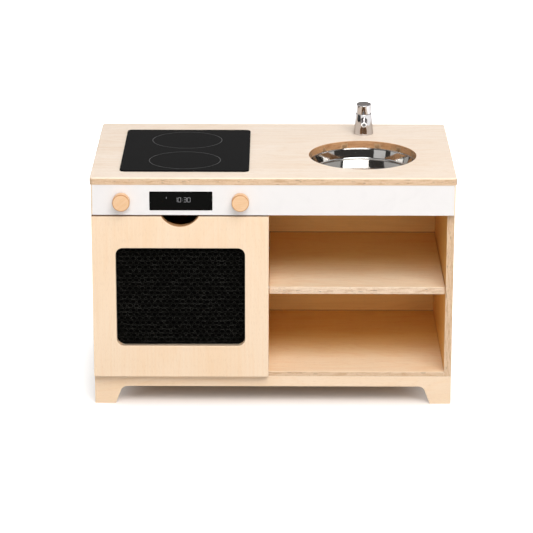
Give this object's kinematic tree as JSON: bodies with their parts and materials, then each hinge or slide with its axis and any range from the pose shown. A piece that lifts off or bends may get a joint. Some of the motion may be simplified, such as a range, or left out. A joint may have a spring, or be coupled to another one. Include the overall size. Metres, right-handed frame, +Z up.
{
  "type": "toy kitchen",
  "caption": "Low plywood play kitchen: worktop with a hob panel, a hung round sink and a push tap, a rail with turning knobs, a drop-down oven door and an open shelf bay.",
  "frame": {"origin": "on the floor, under the middle of the whole object's box", "axes": "+Z up, +X to the right for the child who plays at it, -Y towards that child"},
  "size_m": [0.74, 0.448, 0.5565],
  "materials": {
    "birch_ply": "clear satin lacquer",
    "white_laminate": "satin",
    "black_gloss": "gloss",
    "polished_steel": "polished",
    "chrome": "polished",
    "turned_birch": "clear satin lacquer",
    "beech_dowel": "raw",
    "black_net": "stiffened net",
    "zinc_steel": "zinc plated",
    "nickel_magnet": "nickel plated",
    "nylon_bush": "moulded",
    "grey_aerator": "moulded"
  },
  "bodies": {
    "carcass": {"worktop": "birch_ply", "left_side": "birch_ply", "right_side": "birch_ply", "divider": "birch_ply", "bottom_panel": "birch_ply", "back_panel": "birch_ply", "shelf": "birch_ply", "front_plinth": "birch_ply", "rear_plinth": "birch_ply", "fascia_board": "birch_ply", "fascia_laminate": "white_laminate", "hob_panel": "black_gloss", "display_panel": "black_gloss", "sink_bowl": "polished_steel", "sink_screws": "zinc_steel", "tap_body": "chrome", "tap_aerator": "grey_aerator", "tap_spring": "zinc_steel", "tap_stud": "zinc_steel", "tap_washer": "zinc_steel", "tap_nut": "zinc_steel", "knob_bushes": "nylon_bush", "hinge_left_carcass_leaf": "zinc_steel", "hinge_right_carcass_leaf": "zinc_steel", "hinge_left_pin": "zinc_steel", "hinge_right_pin": "zinc_steel", "hinge_carcass_screws": "zinc_steel", "door_magnets": "nickel_magnet", "shelf_pins": "zinc_steel", "back_panel_screws": "zinc_steel", "carcass_dowels": "beech_dowel"},
    "oven_door": {"oven_door": "birch_ply", "window_mesh": "black_net", "mesh_frame": "birch_ply", "mesh_frame_screws": "zinc_steel", "hinge_left_door_leaf": "zinc_steel", "hinge_right_door_leaf": "zinc_steel", "hinge_door_screws": "zinc_steel", "door_strikes": "zinc_steel"},
    "knob_left": {"knob_left": "turned_birch", "knob_left_spindle": "zinc_steel", "knob_left_nut": "zinc_steel"},
    "knob_right": {"knob_right": "turned_birch", "knob_right_spindle": "zinc_steel", "knob_right_nut": "zinc_steel"},
    "tap_cap": {"tap_cap": "chrome"}
  },
  "joints": [
    {"name": "oven_door_hinge", "type": "hinge", "parent": "carcass", "child": "oven_door", "pos_m": [-0.1885, -0.1903, 0.0645], "axis": [1, 0, 0], "range_deg": [0, 90]},
    {"name": "knob_left_turn", "type": "hinge", "parent": "carcass", "child": "knob_left", "pos_m": [-0.3062, -0.206, 0.4415], "axis": [0, -1, 0], "continuous": true},
    {"name": "knob_right_turn", "type": "hinge", "parent": "carcass", "child": "knob_right", "pos_m": [-0.0662, -0.206, 0.4415], "axis": [0, -1, 0], "continuous": true},
    {"name": "tap_cap_press", "type": "slide", "parent": "carcass", "child": "tap_cap", "axis": [0, 0, -1], "range_m": [0, 0.006], "stiffness_N_per_m": 300, "springref_m": -0.006, "deforming": ["tap_spring"]}
  ]
}
